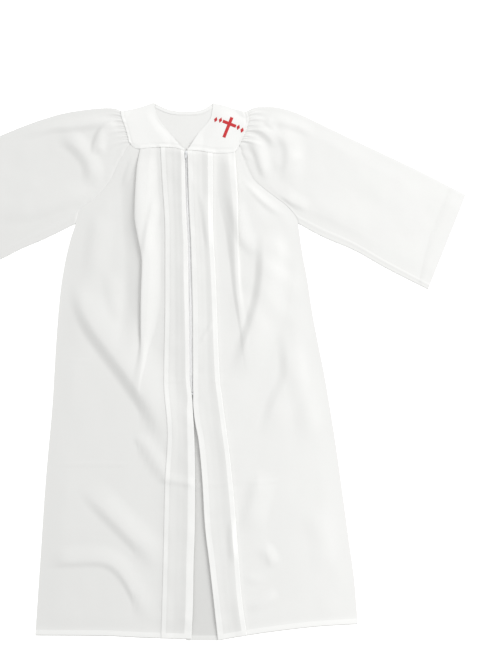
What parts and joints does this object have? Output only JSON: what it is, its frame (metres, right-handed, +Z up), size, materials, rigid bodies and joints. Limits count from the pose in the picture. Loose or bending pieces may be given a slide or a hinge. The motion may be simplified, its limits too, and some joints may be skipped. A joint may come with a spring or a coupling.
{
  "type": "confirmation robe laid flat",
  "caption": "White zip-front robe laid flat, with a V-necked yoke, gathered wide sleeves, pressed tucks, deep pleats and soft folds.",
  "frame": {"origin": "middle of the laid-out robe's box, on the surface that it lies on", "axes": "+Z up from the surface, +Y towards the neck, +X towards the wearer's left sleeve"},
  "size_m": [1.349, 1.2892, 0.0143],
  "materials": {
    "robe_cloth": "satin-matte woven polyester",
    "zip_tape": "herringbone tape",
    "zip_coil": "moulded coil",
    "zip_hardware": "die-cast, painted white",
    "motif_print": "flat red transfer print"
  },
  "bodies": {
    "robe": {"back_panel": "robe_cloth", "back_yoke": "robe_cloth", "back_neck_facing": "robe_cloth", "front_panel_right": "robe_cloth", "front_panel_left": "robe_cloth", "front_yoke_right": "robe_cloth", "front_yoke_left": "robe_cloth", "sleeve_right": "robe_cloth", "sleeve_left": "robe_cloth", "zip_tape_right": "zip_tape", "zip_tape_left": "zip_tape", "zip_chain": "zip_coil", "zip_stop": "zip_hardware", "zip_slider": "zip_hardware"},
    "pull_tab": {"zip_pull_tab": "zip_hardware"}
  },
  "joints": [
    {"name": "pull_swing", "type": "hinge", "parent": "robe", "child": "pull_tab", "pos_m": [0.0026, 0.525, 0.006], "axis": [-1, 0, 0], "range_deg": [0, 150]}
  ]
}
